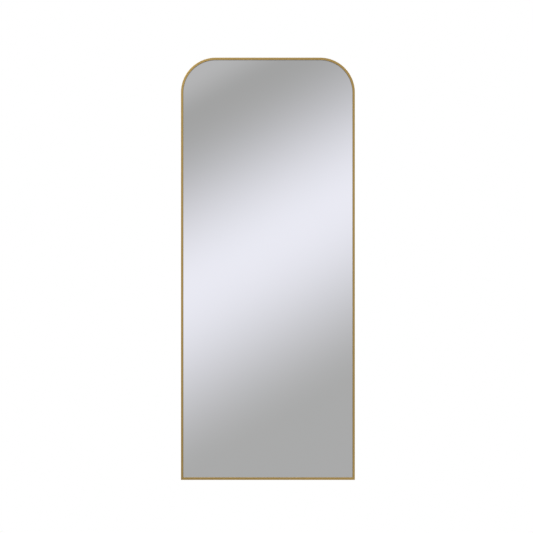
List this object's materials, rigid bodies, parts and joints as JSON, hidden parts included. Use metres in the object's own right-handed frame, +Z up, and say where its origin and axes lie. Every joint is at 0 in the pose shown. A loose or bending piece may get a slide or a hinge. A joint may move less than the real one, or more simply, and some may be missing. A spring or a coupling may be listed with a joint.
{
  "type": "wall mirror",
  "caption": "Tall wall mirror with round upper corners and square lower ones in a slim gold metal frame, hung from swinging rings behind it.",
  "frame": {"origin": "on the wall plane, midway between the two wall hooks, at the height where they carry the hanger rings once these are turned up", "axes": "+X to the right of someone who looks into the mirror, +Y into the wall, +Z up"},
  "size_m": [0.7, 0.028, 1.7],
  "materials": {
    "gold_frame": "fine brushed and gold anodised, satin",
    "mirror": "float glass, silvered behind",
    "film": "thin vinyl film",
    "fibreboard": "raw medium density fibreboard",
    "foam_tape": "closed cell foam",
    "rubber": "moulded rubber",
    "bumper_rubber": "moulded rubber",
    "spring_steel": "blued spring steel",
    "zinc_plate": "bright zinc plating",
    "bracket_zinc": "bright zinc plating",
    "ring_nickel": "nickel plated wire",
    "screw_steel": "zinc plated"
  },
  "bodies": {
    "mirror": {"backing_board": "fibreboard", "corner_plate_left": "zinc_plate", "corner_plate_right": "zinc_plate", "corner_set_screws": "screw_steel", "corner_shim_left": "zinc_plate", "corner_shim_right": "zinc_plate", "frame_bottom_rail": "gold_frame", "frame_hoop": "gold_frame", "glazing_tape_hoop": "foam_tape", "glazing_tape_rail": "foam_tape", "hanger_bracket_left": "bracket_zinc", "hanger_bracket_right": "bracket_zinc", "hanger_screws": "screw_steel", "mirror_glass": "mirror", "rail_spring_1": "spring_steel", "rail_spring_2": "spring_steel", "safety_film": "film", "setting_block_left": "rubber", "setting_block_right": "rubber", "side_pad_lower_left": "rubber", "side_pad_lower_right": "rubber", "side_pad_upper_left": "rubber", "side_pad_upper_right": "rubber", "stile_spring_1_left": "spring_steel", "stile_spring_1_right": "spring_steel", "stile_spring_2_left": "spring_steel", "stile_spring_2_right": "spring_steel", "stile_spring_3_left": "spring_steel", "stile_spring_3_right": "spring_steel", "stile_spring_4_left": "spring_steel", "stile_spring_4_right": "spring_steel", "stile_spring_5_left": "spring_steel", "stile_spring_5_right": "spring_steel", "top_spring_1": "spring_steel", "top_spring_2": "spring_steel", "wall_bumper_lower_left": "bumper_rubber", "wall_bumper_lower_right": "bumper_rubber", "wall_bumper_upper_left": "bumper_rubber", "wall_bumper_upper_right": "bumper_rubber"},
    "left_ring": {"hanger_ring_left": "ring_nickel"},
    "right_ring": {"hanger_ring_right": "ring_nickel"}
  },
  "joints": [
    {"name": "left_ring_swing", "type": "hinge", "parent": "mirror", "child": "left_ring", "pos_m": [-0.32, -0.0072, -0.0184], "axis": [1, 0, 0], "range_deg": [0, 185]},
    {"name": "right_ring_swing", "type": "hinge", "parent": "mirror", "child": "right_ring", "pos_m": [0.32, -0.0072, -0.0184], "axis": [1, 0, 0], "range_deg": [0, 185]}
  ]
}
